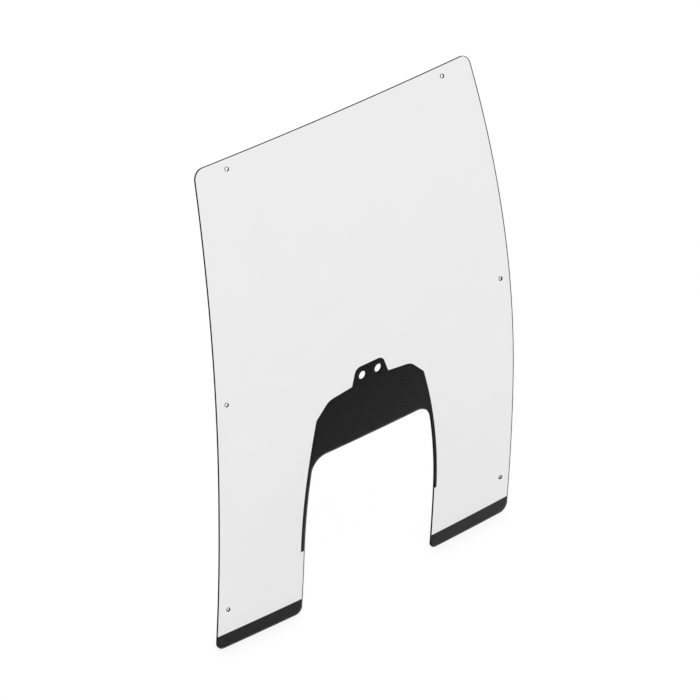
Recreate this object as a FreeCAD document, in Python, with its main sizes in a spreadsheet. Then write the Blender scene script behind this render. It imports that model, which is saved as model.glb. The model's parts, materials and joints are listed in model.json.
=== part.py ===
"""Windshield screen: one doubly curved clear sheet with black bands printed on its inner face.

X runs across the screen, Y from its bulging outer face to its inner face, and Z up.
The origin is on the centre line, level with the feet and halfway through the depth.
Every layer is a strip of the same side profile turned about one far upright axis, so the
printed bands lie on the clear sheet exactly. Cuts along Y then give each its outline.
"""
import FreeCAD, Part
import math
import os
import Sketcher
from FreeCAD import Vector

# alias, millimetres or degrees, what it is
SIZES = [
    ("overall_height", 1297, "feet to top edge, on the outer face"),
    ("overall_width", 950, "across the upright lower sides"),
    ("glass_thickness", 5, "clear sheet"),
    ("print_thickness", 0.3, "black layer on the inner face"),
    ("nose_height", 432, "where the outer face is furthest forward"),
    ("upper_bend_radius", 2808, "side profile above the nose"),
    ("lower_bend_radius", 5220, "side profile below the nose"),
    ("bow_radius", 10460, "across the screen, at the nose"),
    ("origin_depth", 74.65, "nose to origin, which is halfway through the depth"),
    ("side_bend_height", 354, "where the sides start to close in"),
    ("side_bend_radius", 9490, "sides, seen from the front"),
    ("top_corner_radius", 28, "both top corners"),
    ("outer_foot_radius", 24, "outer corner of each foot"),
    ("inner_foot_radius", 20, "inner corner of each foot"),
    ("gap_width", 420, "between the feet"),
    ("gap_height", 452.7, "feet to the top of the gap"),
    ("gap_bend_height", 190, "where the gap starts to close in and its border ends"),
    ("gap_bend_radius", 1400, "sides of the gap, seen from the front"),
    ("gap_corner_radius", 45, "top corners of the gap"),
    ("fixing_hole_diameter", 10, "six holes near the edges"),
    ("top_hole_spacing", 673, "between the two top fixing holes"),
    ("top_hole_inset", 25, "top edge to top fixing holes"),
    ("side_hole_inset", 31.5, "side edge to middle and bottom fixing holes"),
    ("middle_hole_height", 707, "feet to middle fixing holes"),
    ("bottom_hole_height", 116, "feet to bottom fixing holes"),
    ("wiper_hole_diameter", 22, "two holes through the tab"),
    ("wiper_hole_spacing", 50, "between them"),
    ("wiper_hole_inset", 25, "top of the tab to the wiper holes"),
    ("foot_band_height", 42, "black band along each foot"),
    ("border_width", 10.5, "black border down both sides of the gap"),
    ("shoulder_rise", 103.3, "gap to the sharp corner that ends the border"),
    ("shoulder_chamfer_angle", 45, "slope of the shoulder's cut corner"),
    ("shoulder_radius", 40, "between that slope and the shoulder's top"),
    ("shoulder_fall_angle", 6.8, "fall of the shoulder's top, away from the tab"),
    ("tab_foot_rise", 152.7, "gap to where the tab meets the shoulders"),
    ("tab_foot_width", 116, "tab at that height"),
    ("tab_side_angle", 18.4, "lean of the tab's sides from upright"),
    ("tab_corner_radius", 20, "top corners of the tab"),
    ("tab_rise", 198.6, "gap to the top of the tab"),
]

doc = FreeCAD.newDocument("windshield_screen")
sheet = doc.addObject("Spreadsheet::Sheet", "Sizes")
for row, (alias, value, note) in enumerate(SIZES, start=1):
    sheet.set(f"A{row}", note)
    sheet.set(f"B{row}", str(value))
    sheet.setAlias(f"B{row}", alias)
doc.recompute()

# Which point of an edge a sketch constraint holds.
START, END, CENTRE = 1, 2, 3

# Cuts end well outside the sheet, and right-hand cuts run a little past the centre line.
FAR_RIGHT = "Sizes.overall_width"
FAR_UP = "2 * Sizes.overall_height"
FAR_DOWN = "-Sizes.overall_height"
PAST_CENTRE = "-Sizes.gap_width / 8"


def size(alias):
    """The number in the sheet's cell of that name."""
    return float(sheet.get(alias))


# ---------------------------------------------------------------- sketches

def attach(body, role, name):
    """A new sketch on one of the body's own planes."""
    sketch = body.newObject("Sketcher::SketchObject", name)
    plane = next(feature for feature in body.Origin.OriginFeatures if feature.Role == role)
    sketch.AttachmentSupport = [(plane, "")]
    sketch.MapMode = "FlatFace"
    return sketch


class Outline:
    """A closed chain of lines and arcs in one sketch, with its sizes bound to the sheet."""

    def __init__(self, body, role, name):
        self.sketch = attach(body, role, name)
        self.chain = []

    def line(self, start, end, lies=None):
        """A line, which lies can fix as Horizontal or Vertical."""
        index = self.sketch.addGeometry(Part.LineSegment(Vector(start), Vector(end)), False)
        if lies:
            self.sketch.addConstraint(Sketcher.Constraint(lies, index))
        self.chain.append((index, START, END))
        return index

    def arc(self, centre, start, end):
        """The arc of under half a turn from start to end."""
        first, last = start - centre, end - centre
        anticlockwise = first.cross(last).z > 0
        if not anticlockwise:
            first, last = last, first
        circle = Part.Circle(centre, Vector(0, 0, 1), first.Length)
        angles = math.atan2(first.y, first.x), math.atan2(last.y, last.x)
        index = self.sketch.addGeometry(Part.ArcOfCircle(circle, *angles), False)
        self.chain.append((index, START, END) if anticlockwise else (index, END, START))
        return index

    def close(self, smooth=()):
        """Join each edge's end to the next edge's start, tangent after each edge in smooth."""
        for place, (index, _, tail) in enumerate(self.chain):
            following, head, _ = self.chain[(place + 1) % len(self.chain)]
            kind = "Tangent" if index in smooth else "Coincident"
            self.sketch.addConstraint(Sketcher.Constraint(kind, index, tail, following, head))

    def head(self, index):
        """The point where the chain enters an edge."""
        return next(head for edge, head, _ in self.chain if edge == index)

    def tail(self, index):
        """The point where the chain leaves an edge."""
        return next(tail for edge, _, tail in self.chain if edge == index)

    def bind(self, constraint, formula):
        index = self.sketch.addConstraint(constraint)
        self.sketch.renameConstraint(index, f"bound_{index}")
        self.sketch.setExpression(f"Constraints.bound_{index}", formula)

    def place(self, index, point, across=None, up=None):
        """Bind how far a point lies across and up from the sketch's origin."""
        where = self.sketch.getPoint(index, point)
        if across:
            self.bind(Sketcher.Constraint("DistanceX", index, point, where.x), across)
        if up:
            self.bind(Sketcher.Constraint("DistanceY", index, point, where.y), up)

    def radius(self, index, formula):
        self.bind(Sketcher.Constraint("Radius", index, self.sketch.Geometry[index].Radius), formula)

    def direction(self, index, vector, formula):
        """Bind the way a line runs, in degrees from the sketch's X axis."""
        angle = math.atan2(vector.y, vector.x)
        self.bind(Sketcher.Constraint("Angle", index, angle), f"({formula}) * 1deg")


def side_profile(body, name, front, back):
    """A layer of the side profile, between two depths behind the outer face.

    front and back each pair a depth with its formula. Two bends meet at the nose, where
    the profile is upright, and both ends are square to the surface.
    """
    outline = Outline(body, "YZ_Plane", name)
    nose, height = size("nose_height"), size("overall_height")
    upper, lower = size("upper_bend_radius"), size("lower_bend_radius")
    upper_centre, lower_centre = Vector(upper, nose), Vector(lower, nose)

    def end(centre, radius, depth, rise):
        across = math.sqrt(radius ** 2 - rise ** 2)
        return centre + Vector(-across, rise) * ((radius - depth) / radius)

    front_nose, back_nose = Vector(front[0], nose), Vector(back[0], nose)
    front_top, back_top = (end(upper_centre, upper, depth, height - nose) for depth in (front[0], back[0]))
    front_foot, back_foot = (end(lower_centre, lower, depth, -nose) for depth in (front[0], back[0]))

    front_lower = outline.arc(lower_centre, front_foot, front_nose)
    front_upper = outline.arc(upper_centre, front_nose, front_top)
    outline.line(front_top, back_top)
    back_upper = outline.arc(upper_centre, back_top, back_nose)
    back_lower = outline.arc(lower_centre, back_nose, back_foot)
    outline.line(back_foot, front_foot)
    outline.close(smooth=[front_lower, back_upper])

    rise = "(Sizes.overall_height - Sizes.nose_height)"
    layers = (
        (front[1], front_lower, outline.head(front_lower), front_upper, outline.tail(front_upper)),
        (back[1], back_lower, outline.tail(back_lower), back_upper, outline.head(back_upper)),
    )
    for depth, lower_arc, foot, upper_arc, top in layers:
        radius = f"(Sizes.upper_bend_radius - {depth})"
        outline.place(lower_arc, CENTRE, across="Sizes.lower_bend_radius", up="Sizes.nose_height")
        outline.place(lower_arc, foot, up=f"Sizes.nose_height * {depth} / Sizes.lower_bend_radius")
        outline.place(upper_arc, CENTRE, across="Sizes.upper_bend_radius", up="Sizes.nose_height")
        outline.place(upper_arc, top, up=f"Sizes.nose_height + {rise} * {radius} / Sizes.upper_bend_radius")
        outline.radius(upper_arc, radius)

    axis = outline.sketch.addGeometry(
        Part.LineSegment(Vector(size("bow_radius"), 0), Vector(size("bow_radius"), nose)), True)
    outline.sketch.addConstraint(Sketcher.Constraint("Vertical", axis))
    outline.place(axis, START, across="Sizes.bow_radius")
    outline.sketch.addConstraint(Sketcher.Constraint("PointOnObject", axis, START, -1))
    outline.place(axis, END, up="Sizes.nose_height")
    return outline.sketch


def side_outline(body):
    """What lies outside the right-hand side: upright below, then one long arc inwards."""
    outline = Outline(body, "XZ_Plane", "side_outline")
    half, height, bend = size("overall_width") / 2, size("overall_height"), size("side_bend_height")
    radius = size("side_bend_radius")
    centre = Vector(half - radius, bend)
    far_right, far_up = 2 * half, 2 * height
    arc_top = Vector(centre.x + math.sqrt(radius ** 2 - (far_up - bend) ** 2), far_up)

    side = outline.line(Vector(half, -height), Vector(half, bend), "Vertical")
    arc = outline.arc(centre, Vector(half, bend), arc_top)
    outline.line(arc_top, Vector(far_right, far_up), "Horizontal")
    outer = outline.line(Vector(far_right, far_up), Vector(far_right, -height), "Vertical")
    outline.line(Vector(far_right, -height), Vector(half, -height), "Horizontal")
    outline.close()

    outline.place(side, END, across="Sizes.overall_width / 2", up="Sizes.side_bend_height")
    outline.place(arc, CENTRE, up="Sizes.side_bend_height")
    outline.radius(arc, "Sizes.side_bend_radius")
    outline.place(outer, START, across=FAR_RIGHT, up=FAR_UP)
    outline.place(outer, END, up=FAR_DOWN)
    return outline.sketch


def gap_outline(body):
    """The right half of the gap between the feet: upright, then an arc inwards to a round corner."""
    outline = Outline(body, "XZ_Plane", "gap_outline")
    half, top, low = size("gap_width") / 2, size("gap_height"), -size("overall_height")
    bend, radius, corner = size("gap_bend_height"), size("gap_bend_radius"), size("gap_corner_radius")
    centre = Vector(half - radius, bend)
    corner_rise = top - corner - bend
    corner_centre = centre + Vector(math.sqrt((radius - corner) ** 2 - corner_rise ** 2), corner_rise)
    meet = centre + (corner_centre - centre).normalize() * radius
    corner_top = corner_centre + Vector(0, corner)
    inner = -half / 4

    outline.line(Vector(inner, low), Vector(half, low), "Horizontal")
    side = outline.line(Vector(half, low), Vector(half, bend), "Vertical")
    side_arc = outline.arc(centre, Vector(half, bend), meet)
    corner_arc = outline.arc(corner_centre, meet, corner_top)
    outline.line(corner_top, Vector(inner, top), "Horizontal")
    past_centre = outline.line(Vector(inner, top), Vector(inner, low), "Vertical")
    outline.close(smooth=[side_arc, corner_arc])

    outline.place(side, END, across="Sizes.gap_width / 2", up="Sizes.gap_bend_height")
    outline.place(side_arc, CENTRE, up="Sizes.gap_bend_height")
    outline.radius(side_arc, "Sizes.gap_bend_radius")
    outline.radius(corner_arc, "Sizes.gap_corner_radius")
    outline.place(past_centre, START, across=PAST_CENTRE, up="Sizes.gap_height")
    outline.place(past_centre, END, up=FAR_DOWN)
    return outline.sketch


def heading(degrees):
    """A unit vector that many degrees from the sketch's X axis."""
    return Vector(math.cos(math.radians(degrees)), math.sin(math.radians(degrees)))


def crossing(first, first_way, second, second_way):
    """Where two lines meet, each given by a point and a direction."""
    apart = second - first
    return first + first_way * (apart.cross(second_way).z / first_way.cross(second_way).z)


def rounding(corner, before, after, radius):
    """Centre and both ends of an arc in a corner that has edges leaving it those two ways."""
    half = before.getAngle(after) / 2
    middle = (before + after).normalize()
    reach = radius / math.tan(half)
    return corner + middle * (radius / math.sin(half)), corner + before * reach, corner + after * reach


def mask_outline(body):
    """What lies outside the right half of the mask: tab, shoulder, cut corner and border."""
    outline = Outline(body, "XZ_Plane", "mask_outline")
    half, gap_top, bend = size("gap_width") / 2, size("gap_height"), size("gap_bend_height")
    inner, far_right = -half / 4, size("overall_width")
    far_up, far_down = 2 * size("overall_height"), -size("overall_height")

    tab_top = gap_top + size("tab_rise")
    tab_way = heading(size("tab_side_angle") - 90)
    tab_foot = Vector(size("tab_foot_width") / 2, gap_top + size("tab_foot_rise"))
    tab_corner = crossing(Vector(0, tab_top), heading(0), tab_foot, tab_way)
    tab_centre, tab_start, tab_end = rounding(tab_corner, heading(180), tab_way, size("tab_corner_radius"))

    border_radius = size("gap_bend_radius") + size("border_width")
    border_centre = Vector(half - size("gap_bend_radius"), bend)
    border_rise = gap_top + size("shoulder_rise") - bend
    border_top = border_centre + Vector(math.sqrt(border_radius ** 2 - border_rise ** 2), border_rise)
    border_end = border_centre + Vector(border_radius, 0)

    shoulder_way = heading(-size("shoulder_fall_angle"))
    chamfer_way = heading(-size("shoulder_chamfer_angle"))
    shoulder = crossing(tab_foot, shoulder_way, border_top, chamfer_way)
    shoulder_centre, shoulder_start, shoulder_end = rounding(
        shoulder, shoulder_way * -1, chamfer_way, size("shoulder_radius"))

    inner_line = outline.line(Vector(inner, far_up), Vector(inner, tab_top), "Vertical")
    tab_line = outline.line(Vector(inner, tab_top), tab_start, "Horizontal")
    tab_arc = outline.arc(tab_centre, tab_start, tab_end)
    tab_side = outline.line(tab_end, tab_foot)
    shoulder_line = outline.line(tab_foot, shoulder_start)
    shoulder_arc = outline.arc(shoulder_centre, shoulder_start, shoulder_end)
    chamfer = outline.line(shoulder_end, border_top)
    border = outline.arc(border_centre, border_top, border_end)
    outline.line(border_end, Vector(inner, bend), "Horizontal")
    lower_line = outline.line(Vector(inner, bend), Vector(inner, far_down), "Vertical")
    outline.line(Vector(inner, far_down), Vector(far_right, far_down), "Horizontal")
    outer = outline.line(Vector(far_right, far_down), Vector(far_right, far_up), "Vertical")
    outline.line(Vector(far_right, far_up), Vector(inner, far_up), "Horizontal")
    outline.close(smooth=[tab_line, tab_arc, shoulder_line, shoulder_arc])

    outline.place(inner_line, END, across=PAST_CENTRE, up="Sizes.gap_height + Sizes.tab_rise")
    outline.radius(tab_arc, "Sizes.tab_corner_radius")
    outline.direction(tab_side, tab_way, "Sizes.tab_side_angle - 90")
    outline.place(tab_side, END, across="Sizes.tab_foot_width / 2",
                  up="Sizes.gap_height + Sizes.tab_foot_rise")
    outline.direction(shoulder_line, shoulder_way, "-Sizes.shoulder_fall_angle")
    outline.radius(shoulder_arc, "Sizes.shoulder_radius")
    outline.direction(chamfer, chamfer_way, "-Sizes.shoulder_chamfer_angle")
    outline.place(chamfer, END, up="Sizes.gap_height + Sizes.shoulder_rise")
    outline.place(border, CENTRE, across="Sizes.gap_width / 2 - Sizes.gap_bend_radius",
                  up="Sizes.gap_bend_height")
    outline.radius(border, "Sizes.gap_bend_radius + Sizes.border_width")
    outline.place(lower_line, START, across=PAST_CENTRE, up="Sizes.gap_bend_height")
    outline.place(outer, START, across=FAR_RIGHT, up=FAR_DOWN)
    outline.place(outer, END, up=FAR_UP)
    return outline.sketch


def band_outline(body):
    """What lies above the band along the right foot."""
    outline = Outline(body, "XZ_Plane", "band_outline")
    low, high = size("foot_band_height"), 2 * size("overall_height")
    inner, far_right = -size("gap_width") / 8, size("overall_width")

    bottom = outline.line(Vector(inner, low), Vector(far_right, low), "Horizontal")
    outline.line(Vector(far_right, low), Vector(far_right, high), "Vertical")
    top = outline.line(Vector(far_right, high), Vector(inner, high), "Horizontal")
    outline.line(Vector(inner, high), Vector(inner, low), "Vertical")
    outline.close()

    outline.place(bottom, START, across=PAST_CENTRE, up="Sizes.foot_band_height")
    outline.place(top, START, across=FAR_RIGHT, up=FAR_UP)
    return outline.sketch


def hole_sketch(body, name, diameter, across, up, bend):
    """A circle on the outer face, that far across and up, and square to the surface there."""
    sketch = attach(body, "XZ_Plane", name)
    rise = f"({up} - Sizes.nose_height)"
    depth = f"({bend} - sqrt({bend} ^ 2 - {rise} ^ 2))"
    turn = f"asin(({across}) / (Sizes.bow_radius - {depth}))"
    sketch.setExpression("AttachmentOffset.Base.x", across)
    sketch.setExpression("AttachmentOffset.Base.y", up)
    sketch.setExpression(
        "AttachmentOffset.Base.z", f"(Sizes.bow_radius - {depth}) * cos({turn}) - Sizes.bow_radius")
    sketch.setExpression("AttachmentOffset.Rotation.Pitch", turn)
    sketch.setExpression("AttachmentOffset.Rotation.Roll", f"-asin({rise} / {bend})")
    circle = sketch.addGeometry(Part.Circle(Vector(), Vector(0, 0, 1), size(diameter) / 2), False)
    sketch.addConstraint(Sketcher.Constraint("Coincident", circle, CENTRE, -1, START))
    bore = sketch.addConstraint(Sketcher.Constraint("Diameter", circle, size(diameter)))
    sketch.renameConstraint(bore, "bore")
    sketch.setExpression("Constraints.bore", f"Sizes.{diameter}")
    return sketch


# ---------------------------------------------------------------- features

# Depths behind the outer face, each with its formula.
IN_FRONT = -size("glass_thickness"), "-Sizes.glass_thickness"
OUTER_FACE = 0, "0"
INNER_FACE = size("glass_thickness"), "Sizes.glass_thickness"
PRINT_FACE = (size("glass_thickness") + size("print_thickness"),
              "(Sizes.glass_thickness + Sizes.print_thickness)")

# Half-widths, as shares of the finished width: a sheet before its sides are cut, and its tool.
SHEET_SPAN = 0.75
TOOL_SPAN = 0.9


def new_body(label):
    """A body whose own origin is on the outer face's nose, moved to the screen's origin."""
    body = doc.addObject("PartDesign::Body", label)
    body.setExpression("Placement.Base.y", "-Sizes.origin_depth")
    return body


def turn(body, kind, name, front, back, span, both_sides=True):
    """Turn the side profile between two depths about the far upright axis."""
    profile = side_profile(body, f"{name}_profile", front, back)
    feature = body.newObject(f"PartDesign::{kind}", name)
    feature.Profile = profile
    feature.ReferenceAxis = (profile, ["Axis0"])
    feature.Midplane = both_sides
    half_turn = f"asin({span} * Sizes.overall_width / Sizes.bow_radius)"
    feature.setExpression("Angle", f"2 * {half_turn}" if both_sides else half_turn)
    doc.recompute()


def check_smaller(body, before, name):
    if not body.Shape.Volume < before:
        raise RuntimeError(f"{name} takes nothing off {body.Label}")


def cut(body, sketch, name, reach="2 * Sizes.overall_height"):
    """Cut a sketch out of the sheet both ways, and make sure that it took something off."""
    before = body.Shape.Volume
    pocket = body.newObject("PartDesign::Pocket", name)
    pocket.Profile = sketch
    pocket.SideType = "Symmetric"
    pocket.Type = "Length"
    pocket.setExpression("Length", reach)
    doc.recompute()
    check_smaller(body, before, name)
    return pocket


def drill(body, name, *where):
    """Cut one round hole square through the sheet and whatever is printed on it."""
    return cut(body, hole_sketch(body, f"{name}_circle", *where), name, "8 * Sizes.glass_thickness")


def drill_wiper_hole(body):
    return drill(
        body, "wiper_hole", "wiper_hole_diameter", "Sizes.wiper_hole_spacing / 2",
        "(Sizes.gap_height + Sizes.tab_rise - Sizes.wiper_hole_inset)", "Sizes.upper_bend_radius")


def mirror(body, features):
    """Repeat the right-hand cuts on the left."""
    before = body.Shape.Volume
    copy = body.newObject("PartDesign::Mirrored", "left_hand_cuts")
    copy.Originals = features
    plane = next(feature for feature in body.Origin.OriginFeatures if feature.Role == "YZ_Plane")
    copy.MirrorPlane = (plane, [""])
    body.Tip = copy
    doc.recompute()
    check_smaller(body, before, copy.Label)


def round_corners(body, name, is_chosen):
    """Round the corner edges, which cross the sheet, wherever the chosen test picks one."""
    base = body.Tip
    crosses_sheet = 2 * size("glass_thickness")
    edges = [f"Edge{number}" for number, edge in enumerate(base.Shape.Edges, start=1)
             if edge.Length < crosses_sheet and is_chosen(edge.BoundBox.Center)]
    if not edges:
        raise RuntimeError(f"{name} finds no edge on {body.Label}")
    fillet = body.newObject("PartDesign::Fillet", name)
    fillet.Base = (base, edges)
    fillet.setExpression("Radius", f"Sizes.{name}")
    doc.recompute()


def pare_to_print(body):
    """Take off all that lies in front of the inner face, which leaves the printed layer."""
    before = body.Shape.Volume
    turn(body, "Groove", "paring", IN_FRONT, INNER_FACE, TOOL_SPAN)
    check_smaller(body, before, "paring")


def at_top(point):
    return point.z > size("overall_height") - size("glass_thickness")


def at_outer_foot(point):
    middle_of_foot = (size("overall_width") + size("gap_width")) / 4
    return point.z < size("glass_thickness") and abs(point.x) > middle_of_foot


def at_inner_foot(point):
    return point.z < size("glass_thickness") and not at_outer_foot(point)


# ---------------------------------------------------------------- sub-parts

def clear_screen():
    """The clear sheet itself: trimmed sides, the gap between the feet, and eight holes."""
    body = new_body("clear_screen")
    turn(body, "Revolution", "bowed_sheet", OUTER_FACE, INNER_FACE, SHEET_SPAN)
    bottom_offset = "Sizes.overall_width / 2 - Sizes.side_hole_inset"
    side_rise = "(Sizes.middle_hole_height - Sizes.side_bend_height)"
    closed_in = f"(Sizes.side_bend_radius - sqrt(Sizes.side_bend_radius ^ 2 - {side_rise} ^ 2))"
    cuts = [
        cut(body, side_outline(body), "side_cut"),
        cut(body, gap_outline(body), "gap_cut"),
        drill(body, "top_hole", "fixing_hole_diameter", "Sizes.top_hole_spacing / 2",
              "(Sizes.overall_height - Sizes.top_hole_inset)", "Sizes.upper_bend_radius"),
        drill(body, "middle_hole", "fixing_hole_diameter", f"{bottom_offset} - {closed_in}",
              "Sizes.middle_hole_height", "Sizes.upper_bend_radius"),
        drill(body, "bottom_hole", "fixing_hole_diameter", bottom_offset,
              "Sizes.bottom_hole_height", "Sizes.lower_bend_radius"),
        drill_wiper_hole(body),
    ]
    mirror(body, cuts)
    round_corners(body, "top_corner_radius", at_top)
    round_corners(body, "outer_foot_radius", at_outer_foot)
    round_corners(body, "inner_foot_radius", at_inner_foot)
    return body


def centre_mask():
    """The black layer round the top of the gap, with the tab that holds the two wiper holes."""
    body = new_body("centre_mask")
    turn(body, "Revolution", "bowed_sheet", OUTER_FACE, PRINT_FACE, SHEET_SPAN)
    cuts = [
        cut(body, mask_outline(body), "mask_cut"),
        cut(body, gap_outline(body), "gap_cut"),
        drill_wiper_hole(body),
    ]
    mirror(body, cuts)
    pare_to_print(body)
    return body


def right_foot_band():
    """The black layer along the bottom of the right foot."""
    body = new_body("right_foot_band")
    turn(body, "Revolution", "bowed_sheet", OUTER_FACE, PRINT_FACE, SHEET_SPAN, both_sides=False)
    cut(body, band_outline(body), "band_cut")
    cut(body, side_outline(body), "side_cut")
    cut(body, gap_outline(body), "gap_cut")
    round_corners(body, "outer_foot_radius", at_outer_foot)
    round_corners(body, "inner_foot_radius", at_inner_foot)
    pare_to_print(body)
    return body


def left_foot_band(right):
    """The other foot's band, mirrored through the centre line."""
    band = doc.addObject("Part::Mirroring", "left_foot_band")
    band.Source = right
    band.Normal = Vector(1, 0, 0)
    return band


right_band = right_foot_band()
parts = [clear_screen(), centre_mask(), right_band, left_foot_band(right_band)]
doc.recompute()

for thing in doc.Objects:
    if "Invalid" in thing.State or "Error" in thing.State:
        raise RuntimeError(f"{thing.Name} is {thing.State}")
for part in parts:
    if part.Shape.isNull() or not part.Shape.isValid() or len(part.Shape.Solids) != 1:
        raise RuntimeError(f"{part.Label} is not one sound solid")

os.makedirs("parts", exist_ok=True)
for part in parts:
    part.Shape.exportStep(f"parts/{part.Label}.step")
    box = part.Shape.optimalBoundingBox()
    print(f"{part.Label}: {part.Shape.Volume / 1000:.2f} cm3, x {box.XMin:.2f} to {box.XMax:.2f}, "
          f"y {box.YMin:.2f} to {box.YMax:.2f}, z {box.ZMin:.2f} to {box.ZMax:.2f}")
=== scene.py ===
"""Windshield screen: one doubly curved clear pane with black bands fired on its inner face.

Lengths are in millimetres until points go into a mesh. X runs across the pane, Y from its
bulging outer face to its inner face, and Z up. Every outline is drawn as (x, z) on the outer
face and then laid on the curved surface, at some depth behind that face.
"""
import json
import math
from functools import partial

import bpy
import numpy as np
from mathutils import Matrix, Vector
from mathutils.geometry import delaunay_2d_cdt


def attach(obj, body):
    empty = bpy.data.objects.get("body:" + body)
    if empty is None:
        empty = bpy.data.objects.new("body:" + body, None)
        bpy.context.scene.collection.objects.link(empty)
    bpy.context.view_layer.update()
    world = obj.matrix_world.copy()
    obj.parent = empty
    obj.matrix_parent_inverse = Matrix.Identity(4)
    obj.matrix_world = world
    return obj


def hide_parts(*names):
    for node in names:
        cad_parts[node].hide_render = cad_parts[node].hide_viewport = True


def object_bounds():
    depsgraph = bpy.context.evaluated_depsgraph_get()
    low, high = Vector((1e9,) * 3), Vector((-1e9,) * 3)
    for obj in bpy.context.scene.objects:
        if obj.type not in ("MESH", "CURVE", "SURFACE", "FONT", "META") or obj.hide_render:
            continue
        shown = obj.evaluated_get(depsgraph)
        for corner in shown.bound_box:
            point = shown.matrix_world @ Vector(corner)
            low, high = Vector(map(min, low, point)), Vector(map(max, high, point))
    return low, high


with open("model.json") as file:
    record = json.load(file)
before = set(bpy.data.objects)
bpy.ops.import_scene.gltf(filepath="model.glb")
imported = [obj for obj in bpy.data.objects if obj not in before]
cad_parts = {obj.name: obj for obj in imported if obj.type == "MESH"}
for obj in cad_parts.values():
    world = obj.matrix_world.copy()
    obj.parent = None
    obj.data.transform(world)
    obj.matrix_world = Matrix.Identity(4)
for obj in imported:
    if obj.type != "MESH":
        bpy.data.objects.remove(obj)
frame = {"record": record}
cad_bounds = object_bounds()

# The pane, as in the CAD source.
OVERALL_HEIGHT = 1297
OVERALL_WIDTH = 950
GLASS_THICKNESS = 5
PRINT_THICKNESS = 0.3
NOSE_HEIGHT = 432
UPPER_BEND_RADIUS = 2808
LOWER_BEND_RADIUS = 5220
BOW_RADIUS = 10460
ORIGIN_DEPTH = 74.65
SIDE_BEND_HEIGHT = 354
SIDE_BEND_RADIUS = 9490
TOP_CORNER_RADIUS = 28
OUTER_FOOT_RADIUS = 24
INNER_FOOT_RADIUS = 20
GAP_WIDTH = 420
GAP_HEIGHT = 452.7
GAP_BEND_HEIGHT = 190
GAP_BEND_RADIUS = 1400
GAP_CORNER_RADIUS = 45

# The print, as in the CAD source.
FOOT_BAND_HEIGHT = 42
BORDER_WIDTH = 10.5
SHOULDER_RISE = 103.3
SHOULDER_CHAMFER_ANGLE = 45
SHOULDER_RADIUS = 40
SHOULDER_FALL_ANGLE = 6.8
TAB_FOOT_RISE = 152.7
TAB_FOOT_WIDTH = 116
TAB_SIDE_ANGLE = 18.4
TAB_CORNER_RADIUS = 20
TAB_RISE = 198.6

# Finish that the CAD solids leave out.
OUTLINE_ARRIS = (1.2, 1.0)   # width and depth of the rounded rims along the outline
HOLE_ARRIS = (0.6, 0.6)      # the same in the holes
ARRIS_STEPS = 3              # flats that stand for each rounding
PRINT_MARGIN = 1.45          # the print stops this far inside the outline
HOLE_MARGIN = 0.7            # and this far outside the wiper holes
BOND_DEPTH = 0.05            # the print's hidden face lies this far inside the glass

# Meshes.
METRES = 0.001
GRID = 14              # between the points inside a sheet, and the longest edge of a print
EDGE_CLEARANCE = 8.4   # kept free of those points along a cut edge
HOLE_POINTS = 48       # round each hole
SAME_POINT = 0.000001  # nearer than this, two points are one
TRIANGLES_INSIDE = 1   # the kind of result wanted from Blender's triangulation

# Which of a piece's materials a face takes.
# The edge faces take a near-black material of painted shade.
POLISHED, PAINTED_DARK_EDGE = 0, 1
BONDED, BARE = 0, 1

# Pale grey glass, darkened towards the feet by painted shade.
GLASS_IOR = 1.52
GLASS_REFLECTION = (0.03, 0.03, 0.03)   # the share of the glass's usual reflection, seen square on
TOP_TINT = (0.838, 0.838, 0.838)
PAINTED_SHADE_FOOT_TINT = (0.797, 0.797, 0.797)
SHADOW_TINT = (0.8, 0.8, 0.8)
CLEAN_FILM = (1, 1, 1)
DUSTY_FILM = (0.988, 0.988, 0.988)

# Noise keeps near 0.5, so two colours are spread over the middle of its range.
NOISE_LOW = 0.3
NOISE_HIGH = 0.7

# Light. At level 1 alone, a surface facing a lamp shows its own colour.
KEY_LEVEL = 0.4
FILL_LEVEL = 0.16
AMBIENT = 0.55

# The floor, in metres.
FLOOR_SIZE = 40
FLOOR_COLOUR = (0.8, 0.8, 0.8)
FLOOR_SHADE = (0.3, 0.3, 0.3)   # what the eye sees of the lamps, and so of the shadow
FLOOR_GLOW = 0.72               # brings the lit floor up to white

# The camera: metres and degrees, and millimetres for the lens.
AIM_FROM_MIDDLE = (0, 0.0088, 0.0027)
AZIMUTH = -40.508
ELEVATION = 32.747
DISTANCE = 14.1255
LENS = 298.57


# ---------------------------------------------------------------- the curved surface

def on_surface(outline, behind):
    """Points that far behind the outer face, in metres, and the outward normals there."""
    x, z = np.asarray(outline, float).T
    rise = z - NOSE_HEIGHT
    bend = np.where(rise > 0, UPPER_BEND_RADIUS, LOWER_BEND_RADIUS)
    lean = np.arcsin(rise / bend)
    reach = BOW_RADIUS - bend * (1 - np.cos(lean))
    turn = np.arcsin(x / reach)
    normals = np.column_stack((
        np.sin(turn) * np.cos(lean),
        -np.cos(turn) * np.cos(lean),
        np.sin(lean),
    ))
    outer = np.column_stack((x, BOW_RADIUS - reach * np.cos(turn) - ORIGIN_DEPTH, z))
    return (outer - normals * behind) * METRES, normals


def edge_normals(outline, surface_normals):
    """Directions square to the edge that lead off the sheet, which lies left of a closed outline."""
    points = np.asarray(outline, float)
    ahead = np.roll(points, -1, axis=0) - points
    ahead /= np.linalg.norm(ahead, axis=1)[:, None]
    along = ahead + np.roll(ahead, 1, axis=0)
    flat = np.column_stack((along[:, 0], np.zeros(len(along)), along[:, 1]))
    flat -= surface_normals * (flat * surface_normals).sum(axis=1)[:, None]
    away = np.cross(flat, surface_normals)
    return away / np.linalg.norm(away, axis=1)[:, None]


# ---------------------------------------------------------------- outlines

def line(start, end, pieces):
    """Points from start, up to but not including end."""
    share = np.arange(pieces)[:, None] / pieces
    return np.asarray(start) * (1 - share) + np.asarray(end) * share


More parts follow.
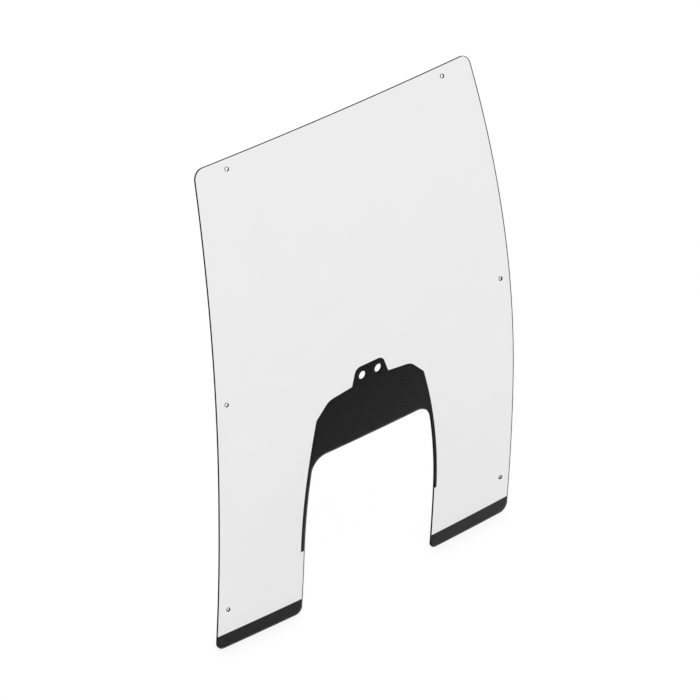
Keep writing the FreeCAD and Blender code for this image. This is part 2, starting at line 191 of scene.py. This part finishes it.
def arc(centre, radius, start, end, pieces):
    """Points round a centre between two angles in radians, up to but not including the last."""
    angle = start + (end - start) * np.arange(pieces) / pieces
    return np.asarray(centre) + radius * np.column_stack((np.cos(angle), np.sin(angle)))


def gap_corner():
    """Centre of the gap's round corner, and the way to it from the centre of the gap's side."""
    rise = GAP_HEIGHT - GAP_CORNER_RADIUS - GAP_BEND_HEIGHT
    reach = GAP_BEND_RADIUS - GAP_CORNER_RADIUS
    across = math.sqrt(reach ** 2 - rise ** 2)
    centre = (GAP_WIDTH / 2 - GAP_BEND_RADIUS + across, GAP_BEND_HEIGHT + rise)
    return centre, math.atan2(rise, across)


def gap_edge(inset):
    """The right half of the gap's edge, from the middle of its top down to where it is upright."""
    corner, way = gap_corner()
    side = (GAP_WIDTH / 2 - GAP_BEND_RADIUS, GAP_BEND_HEIGHT)
    top = GAP_HEIGHT + inset
    return np.vstack((
        line((0, top), (corner[0], top), pieces=12),
        arc(corner, GAP_CORNER_RADIUS + inset, math.pi / 2, way, pieces=24),
        arc(side, GAP_BEND_RADIUS + inset, way, 0, pieces=18),
    ))


def foot_edge(inset):
    """The right foot's edge, from its inner side round to its outer side."""
    inner_x, outer_x = GAP_WIDTH / 2, OVERALL_WIDTH / 2
    inner_centre = (inner_x + INNER_FOOT_RADIUS, INNER_FOOT_RADIUS)
    outer_centre = (outer_x - OUTER_FOOT_RADIUS, OUTER_FOOT_RADIUS)
    return np.vstack((
        arc(inner_centre, INNER_FOOT_RADIUS - inset, math.pi, 1.5 * math.pi, pieces=20),
        line((inner_centre[0], inset), (outer_centre[0], inset), pieces=16),
        arc(outer_centre, OUTER_FOOT_RADIUS - inset, -math.pi / 2, 0, pieces=20),
    ))


def side_edge(inset):
    """The right side's edge, from the foot's outer corner to the middle of the top."""
    x = OVERALL_WIDTH / 2
    bend = (x - SIDE_BEND_RADIUS, SIDE_BEND_HEIGHT)
    rise = OVERALL_HEIGHT - TOP_CORNER_RADIUS - SIDE_BEND_HEIGHT
    across = math.sqrt((SIDE_BEND_RADIUS - TOP_CORNER_RADIUS) ** 2 - rise ** 2)
    corner = (bend[0] + across, bend[1] + rise)
    way = math.atan2(rise, across)
    top = OVERALL_HEIGHT - inset
    return np.vstack((
        line((x - inset, OUTER_FOOT_RADIUS), (x - inset, SIDE_BEND_HEIGHT), pieces=24),
        arc(bend, SIDE_BEND_RADIUS - inset, 0, way, pieces=66),
        arc(corner, TOP_CORNER_RADIUS - inset, way, math.pi / 2, pieces=20),
        line((corner[0], top), (0, top), pieces=30),
    ))


def other_side(outline):
    """The same outline across the centre line, still with the sheet on its left."""
    return outline[::-1] * (-1, 1)


def mirrored(right_half):
    """A closed outline from its right half, whose first and last points are on the centre line."""
    return np.vstack((right_half, other_side(right_half)[1:-1]))


def sheet_outline(inset):
    """The whole pane's edge, with the glass on its left."""
    inner_x = GAP_WIDTH / 2 + inset
    return mirrored(np.vstack((
        gap_edge(inset),
        line((inner_x, GAP_BEND_HEIGHT), (inner_x, INNER_FOOT_RADIUS), pieces=12),
        foot_edge(inset),
        side_edge(inset),
        [(0, OVERALL_HEIGHT - inset)],
    )))


def hole_outline(mount, inset):
    """A round hole's edge on the outer face, with the glass on its left."""
    axis = Vector(mount["axis"])
    half_length = mount["dims"]["length_mm"] / 2
    centre = Vector(mount["pos_m"]) / METRES + axis * half_length
    across = Vector((0, 0, 1)).cross(axis).normalized()
    up = axis.cross(across)
    radius = mount["dims"]["r_mm"] + inset
    turns = -np.arange(HOLE_POINTS) * 2 * math.pi / HOLE_POINTS
    rim = [centre + (across * math.cos(a) + up * math.sin(a)) * radius for a in turns]
    return np.array([(point.x, point.z) for point in rim])


# ---------------------------------------------------------------- printed outlines

def heading(degrees):
    """A unit vector that many degrees up from +X."""
    return np.array((math.cos(math.radians(degrees)), math.sin(math.radians(degrees))))


def crossing(first, first_way, second, second_way):
    """Where two lines meet, each given by a point and a direction."""
    shares = np.linalg.solve(np.column_stack((first_way, -second_way)), second - first)
    return first + first_way * shares[0]


def rounded(corner, before, after, radius, pieces):
    """The arc in a corner that the outline enters along before and leaves along after."""
    turn = math.atan2(before[0] * after[1] - before[1] * after[0], before @ after)
    reach = radius * math.tan(abs(turn) / 2)
    start = corner - before * reach
    inwards = np.array((-before[1], before[0])) * math.copysign(1, turn)
    centre = start + inwards * radius
    first = math.atan2(-inwards[1], -inwards[0])
    points = arc(centre, radius, first, first + turn, pieces)
    return np.vstack((points, [corner + after * reach]))


def divided(points, longest):
    """The same open outline with its long edges cut, so that it can follow the curved surface."""
    made = []
    for start, end in zip(points[:-1], points[1:]):
        pieces = max(1, math.ceil(np.linalg.norm(end - start) / longest))
        made.append(line(start, end, pieces))
    return np.vstack(made + [points[-1:]])


def mask_outline():
    """The mask over the gap: borders, shoulders with a cut corner, and the tab round the wiper holes."""
    tab_top = GAP_HEIGHT + TAB_RISE
    tab_way = heading(90 + TAB_SIDE_ANGLE)
    tab_foot = np.array((TAB_FOOT_WIDTH / 2, GAP_HEIGHT + TAB_FOOT_RISE))
    tab_corner = crossing(tab_foot, tab_way, np.array((0, tab_top)), heading(0))

    border_radius = GAP_BEND_RADIUS + BORDER_WIDTH
    border_centre = np.array((GAP_WIDTH / 2 - GAP_BEND_RADIUS, GAP_BEND_HEIGHT))
    border_rise = GAP_HEIGHT + SHOULDER_RISE - GAP_BEND_HEIGHT
    border_way = math.asin(border_rise / border_radius)
    border_top = border_centre + border_radius * heading(math.degrees(border_way))

    chamfer_way = heading(180 - SHOULDER_CHAMFER_ANGLE)
    shoulder_way = heading(180 - SHOULDER_FALL_ANGLE)
    shoulder = crossing(border_top, chamfer_way, tab_foot, shoulder_way)

    right = np.vstack((
        gap_edge(PRINT_MARGIN),
        [(GAP_WIDTH / 2 + PRINT_MARGIN, GAP_BEND_HEIGHT)],
        arc(border_centre, border_radius, 0, border_way, pieces=24),
        [border_top],
        rounded(shoulder, chamfer_way, shoulder_way, SHOULDER_RADIUS, pieces=16),
        [tab_foot],
        rounded(tab_corner, tab_way, heading(180), TAB_CORNER_RADIUS, pieces=24),
        [(0, tab_top)],
    ))
    return mirrored(divided(right, GRID))


def band_outline():
    """The band along the right foot."""
    inner_x = GAP_WIDTH / 2 + PRINT_MARGIN
    outer_x = OVERALL_WIDTH / 2 - PRINT_MARGIN
    right = np.vstack((
        foot_edge(PRINT_MARGIN),
        [(outer_x, OUTER_FOOT_RADIUS), (outer_x, FOOT_BAND_HEIGHT)],
        [(inner_x, FOOT_BAND_HEIGHT), (inner_x, INNER_FOOT_RADIUS)],
    ))
    return divided(right, GRID)[:-1]


# ---------------------------------------------------------------- meshes

def clear_of(points, outline, gap):
    """Which points are at least that far from every point of an outline."""
    apart = points[:, None, :] - outline[None, :, :]
    return ((apart ** 2).sum(axis=2) > gap ** 2).all(axis=1)


def triangles(outlines):
    """Flat triangles inside the first outline and outside the others, over a grid of points.

    Gives the points, the triangles, and for each outline the numbers of its points.
    """
    rim = np.vstack(outlines)
    low, high = rim.min(axis=0), rim.max(axis=0)
    columns = np.arange(low[0] + GRID / 2, high[0], GRID)
    rows = np.arange(low[1] + GRID / 2, high[1], GRID)
    grid = np.array([(x, z) for z in rows for x in columns])
    grid = grid[clear_of(grid, rim, EDGE_CLEARANCE)]

    rings, first = [], 0
    for outline in outlines:
        rings.append(list(range(first, first + len(outline))))
        first += len(outline)
    anticlockwise = [rings[0]] + [ring[::-1] for ring in rings[1:]]
    points = [Vector(point) for point in np.vstack((rim, grid))]
    flat, _, found, sources, _, owners = delaunay_2d_cdt(
        points, [], anticlockwise, TRIANGLES_INSIDE, SAME_POINT)

    # Triangles inside the first ring alone are kept, and only the points they use.
    inside = [face for face, owner in zip(found, owners) if owner == [0]]
    used = sorted({corner for face in inside for corner in face})
    renumbered = {old: new for new, old in enumerate(used)}
    place = {source: renumbered[old] for old in used for source in sources[old]}
    kept = [[renumbered[corner] for corner in face] for face in inside]
    loops = [[place[number] for number in ring] for ring in rings]
    return np.array([tuple(flat[old]) for old in used]), kept, loops


class Shell:
    """Points, faces, corner normals and material numbers of one mesh."""

    def __init__(self):
        self.points = []
        self.faces = []
        self.normals = []
        self.materials = []

    def add_points(self, points):
        """Take in new points, and give the number of the first."""
        first = len(self.points)
        self.points.extend(points)
        return first

    def add_ring(self, points):
        """Take in new points, and give all their numbers."""
        first = self.add_points(points)
        return list(range(first, first + len(points)))

    def add_face(self, corners, normals, material):
        """Add a face, with a normal for each corner."""
        self.faces.append(corners)
        self.normals.extend(normals)
        self.materials.append(material)

    def add_side(self, flat, kept, behind, faces_out, material):
        """Add one side of the layer, at some depth, turned towards the front or the back."""
        points, normals = on_surface(flat, behind)
        first = self.add_points(points)
        turned = normals if faces_out else -normals
        for face in kept:
            order = face if faces_out else face[::-1]
            self.add_face([first + v for v in order], [turned[v] for v in order], material)
        return first

    def add_strip(self, near, far, near_normals, far_normals, material):
        """Add quads between two closed rings of point numbers, near being the one further forward."""
        count = len(near)
        for step in range(count):
            after = (step + 1) % count
            corners = [near[step], far[step], far[after], near[after]]
            normals = [near_normals[step], far_normals[step], far_normals[after], near_normals[after]]
            self.add_face(corners, normals, material)

    def build(self, name, materials):
        """Make the mesh, in an object of that name."""
        mesh = bpy.data.meshes.new(name)
        mesh.from_pydata([tuple(point) for point in self.points], [], self.faces)
        for material in materials:
            mesh.materials.append(material)
        mesh.polygons.foreach_set("material_index", self.materials)
        mesh.polygons.foreach_set("use_smooth", [True] * len(self.faces))
        mesh.normals_split_custom_set([tuple(normal) for normal in self.normals])
        piece = bpy.data.objects.new(name, mesh)
        bpy.context.scene.collection.objects.link(piece)
        return piece


def ground_rings(width, depth):
    """Each ring of an edge with that arris: its inset, its depth, and its lean to the outer face."""
    near = []
    for step in range(ARRIS_STEPS + 1):
        lean = math.pi / 2 * (1 - step / ARRIS_STEPS)
        near.append((width * (1 - math.cos(lean)), depth * (1 - math.sin(lean)), lean))
    far = [(inset, GLASS_THICKNESS - behind, -lean) for inset, behind, lean in near[::-1]]
    return near + far


def pane(edges, materials):
    """The glass: two polished faces, and ground edges with both rims rounded off.

    Each edge is a function that gives its outline at an inset, with the size of its arris.
    """
    shell = Shell()
    flat, kept, loops = triangles([edge(width) for edge, (width, _) in edges])
    front = shell.add_side(flat, kept, 0, True, POLISHED)
    back = shell.add_side(flat, kept, GLASS_THICKNESS, False, POLISHED)
    for loop, (edge, arris) in zip(loops, edges):
        points, facing = [], []
        for inset, behind, lean in ground_rings(*arris):
            outline = edge(inset)
            ring, outward = on_surface(outline, behind)
            away = edge_normals(outline, outward)
            points.append(ring)
            facing.append(away * math.cos(lean) + outward * math.sin(lean))
        front_rim = [front + number for number in loop]
        back_rim = [back + number for number in loop]
        rings = [front_rim] + [shell.add_ring(ring) for ring in points[1:-1]] + [back_rim]
        for step in range(len(rings) - 1):
            shell.add_strip(rings[step], rings[step + 1], facing[step], facing[step + 1], PAINTED_DARK_EDGE)
    return shell.build("clear_pane", materials)


def printed(name, outlines, materials):
    """A black layer: its bonded face just inside the glass, its bare face and thin edges behind it."""
    shell = Shell()
    flat, kept, loops = triangles(outlines)
    bonded = shell.add_side(flat, kept, GLASS_THICKNESS - BOND_DEPTH, True, BONDED)
    bare = shell.add_side(flat, kept, GLASS_THICKNESS + PRINT_THICKNESS, False, BARE)
    for loop, outline in zip(loops, outlines):
        _, outward = on_surface(outline, GLASS_THICKNESS)
        away = edge_normals(outline, outward)
        bonded_ring = [bonded + number for number in loop]
        bare_ring = [bare + number for number in loop]
        shell.add_strip(bonded_ring, bare_ring, away, away, BARE)
    return shell.build(name, materials)


# ---------------------------------------------------------------- materials

def new_material(name):
    """An empty material, and its nodes and links."""
    material = bpy.data.materials.new(name)
    material.use_nodes = True
    material.node_tree.nodes.clear()
    return material, material.node_tree.nodes, material.node_tree.links


def noise(nodes, links, scale, detail, stretch=(1, 1, 1)):
    """Noise fixed to the piece, with so many lumps to the metre."""
    place = nodes.new("ShaderNodeTexCoord")
    mapping = nodes.new("ShaderNodeMapping")
    mapping.inputs["Scale"].default_value = stretch
    texture = nodes.new("ShaderNodeTexNoise")
    texture.inputs["Scale"].default_value = scale
    texture.inputs["Detail"].default_value = detail
    links.new(place.outputs["Object"], mapping.inputs["Vector"])
    links.new(mapping.outputs["Vector"], texture.inputs["Vector"])
    return texture.outputs["Fac"]


def ramp(nodes, links, factor, stops):
    """A colour ramp over a factor, from pairs of place and colour."""
    made = nodes.new("ShaderNodeValToRGB")
    for element, (place, colour) in zip(made.color_ramp.elements, stops):
        element.position = place
        element.color = (*colour, 1)
    links.new(factor, made.inputs["Fac"])
    return made.outputs["Color"]


def spread(nodes, links, factor, low, high):
    """A factor from 0 to 1 mapped to the range from low to high."""
    made = nodes.new("ShaderNodeMapRange")
    made.inputs["To Min"].default_value = low
    made.inputs["To Max"].default_value = high
    links.new(factor, made.inputs["Value"])
    return made.outputs["Result"]


def height_share(nodes, links):
    """0 at the pane's foot and 1 at its top."""
    place = nodes.new("ShaderNodeTexCoord")
    parts = nodes.new("ShaderNodeSeparateXYZ")
    share = nodes.new("ShaderNodeMapRange")
    share.inputs["From Max"].default_value = OVERALL_HEIGHT * METRES
    links.new(place.outputs["Object"], parts.inputs["Vector"])
    links.new(parts.outputs["Z"], share.inputs["Value"])
    return share.outputs["Result"]


def product(nodes, links, first, second):
    """Two colours multiplied."""
    made = nodes.new("ShaderNodeVectorMath")
    made.operation = "MULTIPLY"
    links.new(first, made.inputs[0])
    links.new(second, made.inputs[1])
    return made.outputs["Vector"]


def bump(nodes, links, height, strength, distance):
    """A normal roughened by a height."""
    made = nodes.new("ShaderNodeBump")
    made.inputs["Strength"].default_value = strength
    made.inputs["Distance"].default_value = distance
    links.new(height, made.inputs["Height"])
    return made.outputs["Normal"]


def clear_glass():
    """Polished glass with a little dust, the faint waves of toughening, and painted shade that darkens
    it towards the feet. Lamps shine through it.
    """
    material, nodes, links = new_material("clear_glass")
    shader = nodes.new("ShaderNodeBsdfPrincipled")
    shader.inputs["Transmission Weight"].default_value = 1
    shader.inputs["IOR"].default_value = GLASS_IOR
    shader.inputs["Specular Tint"].default_value = (*GLASS_REFLECTION, 1)
    # Painted shade: the tint runs darker from the top down to the feet.
    tint_with_painted_shade = ramp(nodes, links, height_share(nodes, links), ((0, PAINTED_SHADE_FOOT_TINT), (1, TOP_TINT)))
    dust = noise(nodes, links, scale=9, detail=6)
    film = ramp(nodes, links, dust, ((NOISE_LOW, CLEAN_FILM), (NOISE_HIGH, DUSTY_FILM)))
    links.new(product(nodes, links, tint_with_painted_shade, film), shader.inputs["Base Color"])
    links.new(spread(nodes, links, dust, low=0, high=0.02), shader.inputs["Roughness"])
    waves = noise(nodes, links, scale=3, detail=1, stretch=(0.6, 1, 5))
    links.new(bump(nodes, links, waves, strength=0.04, distance=0.002), shader.inputs["Normal"])

    lamps_pass = nodes.new("ShaderNodeBsdfTransparent")
    lamps_pass.inputs["Color"].default_value = (*SHADOW_TINT, 1)
    rays = nodes.new("ShaderNodeLightPath")
    mix = nodes.new("ShaderNodeMixShader")
    output = nodes.new("ShaderNodeOutputMaterial")
    links.new(rays.outputs["Is Shadow Ray"], mix.inputs["Fac"])
    links.new(shader.outputs["BSDF"], mix.inputs[1])
    links.new(lamps_pass.outputs["BSDF"], mix.inputs[2])
    links.new(mix.outputs["Shader"], output.inputs["Surface"])
    return material


def dark_solid(name, colours, mottle_scale, roughness, grain_scale, grain_height, specular):
    """A dark mottled material with a fine grain. Scales are lumps to the metre, the height metres."""
    material, nodes, links = new_material(name)
    shader = nodes.new("ShaderNodeBsdfPrincipled")
    shader.inputs["Specular IOR Level"].default_value = specular
    mottle = noise(nodes, links, mottle_scale, detail=4)
    colour = ramp(nodes, links, mottle, ((NOISE_LOW, colours[0]), (NOISE_HIGH, colours[1])))
    links.new(colour, shader.inputs["Base Color"])
    grain = noise(nodes, links, grain_scale, detail=3)
    links.new(spread(nodes, links, grain, *roughness), shader.inputs["Roughness"])
    links.new(bump(nodes, links, grain, strength=0.5, distance=grain_height), shader.inputs["Normal"])
    output = nodes.new("ShaderNodeOutputMaterial")
    links.new(shader.outputs["BSDF"], output.inputs["Surface"])
    return material


def background_rays(nodes, links):
    """1 for rays that show the background as it is: to the camera, in a reflection or through glass."""
    rays = nodes.new("ShaderNodeLightPath")
    total = rays.outputs["Is Camera Ray"]
    for name in ("Is Glossy Ray", "Is Transmission Ray"):
        either = nodes.new("ShaderNodeMath")
        either.operation = "MAXIMUM"
        links.new(total, either.inputs[0])
        links.new(rays.outputs[name], either.inputs[1])
        total = either.outputs["Value"]
    return total


def floor_material():
    """Pale floor: white to the eye where it is lit, with a soft shadow kept."""
    material, nodes, links = new_material("studio_floor")
    plain = nodes.new("ShaderNodeBsdfDiffuse")
    plain.inputs["Color"].default_value = (*FLOOR_COLOUR, 1)
    shaded = nodes.new("ShaderNodeBsdfDiffuse")
    shaded.inputs["Color"].default_value = (*FLOOR_SHADE, 1)
    glow = nodes.new("ShaderNodeEmission")
    glow.inputs["Strength"].default_value = FLOOR_GLOW
    seen = nodes.new("ShaderNodeAddShader")
    mix = nodes.new("ShaderNodeMixShader")
    output = nodes.new("ShaderNodeOutputMaterial")
    links.new(shaded.outputs["BSDF"], seen.inputs[0])
    links.new(glow.outputs["Emission"], seen.inputs[1])
    links.new(background_rays(nodes, links), mix.inputs["Fac"])
    links.new(plain.outputs["BSDF"], mix.inputs[1])
    links.new(seen.outputs["Shader"], mix.inputs[2])
    links.new(mix.outputs["Shader"], output.inputs["Surface"])
    return material


# ---------------------------------------------------------------- studio

def studio_world():
    """White where it is seen, and an even soft light on everything else."""
    world = bpy.data.worlds.new("studio")
    world.use_nodes = True
    nodes, links = world.node_tree.nodes, world.node_tree.links
    nodes.clear()
    background = nodes.new("ShaderNodeBackground")
    background.inputs["Color"].default_value = (1, 1, 1, 1)
    output = nodes.new("ShaderNodeOutputWorld")
    strength = spread(nodes, links, background_rays(nodes, links), low=AMBIENT, high=1)
    links.new(strength, background.inputs["Strength"])
    links.new(background.outputs["Background"], output.inputs["Surface"])
    bpy.context.scene.world = world


def studio_floor(level):
    """A wide pale floor at that height."""
    half = FLOOR_SIZE / 2
    corners = [(-half, -half, level), (half, -half, level), (half, half, level), (-half, half, level)]
    mesh = bpy.data.meshes.new("studio_floor")
    mesh.from_pydata(corners, [], [(0, 1, 2, 3)])
    mesh.materials.append(floor_material())
    floor = bpy.data.objects.new("studio_floor", mesh)
    bpy.context.scene.collection.objects.link(floor)


def soft_lamp(name, towards, level, spread_angle):
    """A wide, even light from one side. At level 1, a surface facing it shows its own colour."""
    data = bpy.data.lights.new(name, "SUN")
    data.energy = level * math.pi
    data.angle = math.radians(spread_angle)
    lamp = bpy.data.objects.new(name, data)
    lamp.rotation_euler = Vector(towards).to_track_quat("Z", "Y").to_euler()
    bpy.context.scene.collection.objects.link(lamp)


def camera(aim, azimuth, elevation, distance, lens):
    """A camera that far from its aim, azimuth degrees round from the pane's front."""
    data = bpy.data.cameras.new("camera")
    data.sensor_width = 36
    data.lens = lens
    data.clip_end = 100
    across, up = math.radians(azimuth), math.radians(elevation)
    away = Vector((math.sin(across) * math.cos(up), -math.cos(across) * math.cos(up), math.sin(up)))
    made = bpy.data.objects.new("camera", data)
    made.location = aim + away * distance
    made.rotation_euler = (-away).to_track_quat("-Z", "Y").to_euler()
    bpy.context.scene.collection.objects.link(made)
    bpy.context.scene.camera = made


# ---------------------------------------------------------------- the scene

record = frame["record"]
wiper_holes = [mount for mount in record["mounts"] if mount["name"].startswith("wiper")]

glass = clear_glass()
# The ground edges are near black: painted shade for the darkness seen along the glass at its edges, not
# the colour of ground glass.
painted_dark_edge_material = dark_solid(
    "ground_edge_painted_dark",
    colours=((0.003, 0.004, 0.0035), (0.008, 0.010, 0.009)),
    mottle_scale=60,
    roughness=(0.5, 0.7),
    grain_scale=900,
    grain_height=0.0001,
    specular=0.02,
)
bonded = dark_solid(
    "bonded_enamel",
    colours=((0.0008, 0.0008, 0.0008), (0.002, 0.002, 0.002)),
    mottle_scale=40,
    roughness=(0.6, 0.8),
    grain_scale=1500,
    grain_height=0.00002,
    specular=0,
)
bare = dark_solid(
    "bare_enamel",
    colours=((0.010, 0.010, 0.011), (0.016, 0.016, 0.017)),
    mottle_scale=40,
    roughness=(0.38, 0.55),
    grain_scale=1500,
    grain_height=0.00004,
    specular=0.4,
)

holes = [(partial(hole_outline, mount), HOLE_ARRIS) for mount in record["mounts"]]
pane_piece = pane([(sheet_outline, OUTLINE_ARRIS)] + holes, [glass, painted_dark_edge_material])
mask_rings = [mask_outline()] + [hole_outline(hole, HOLE_MARGIN) for hole in wiper_holes]
mask_piece = printed("printed_mask", mask_rings, [bonded, bare])
right_piece = printed("printed_right_foot", [band_outline()], [bonded, bare])
left_piece = printed("printed_left_foot", [other_side(band_outline())], [bonded, bare])

for piece, node, slot in (
    (pane_piece, "clear_screen", "clear_sheet"),
    (mask_piece, "centre_mask", "black_print"),
    (right_piece, "right_foot_band", "black_print"),
    (left_piece, "left_foot_band", "black_print"),
):
    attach(piece, "root")
    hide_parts(node)

low, high = cad_bounds
middle = (low + high) / 2
studio_world()
studio_floor(low.z)
soft_lamp("key", towards=(-0.5, -0.5, 1), level=KEY_LEVEL, spread_angle=45)
soft_lamp("fill", towards=(0.8, 0.3, 1), level=FILL_LEVEL, spread_angle=60)
camera(middle + Vector(AIM_FROM_MIDDLE), AZIMUTH, ELEVATION, DISTANCE, LENS)
bpy.context.scene.view_settings.view_transform = "Standard"
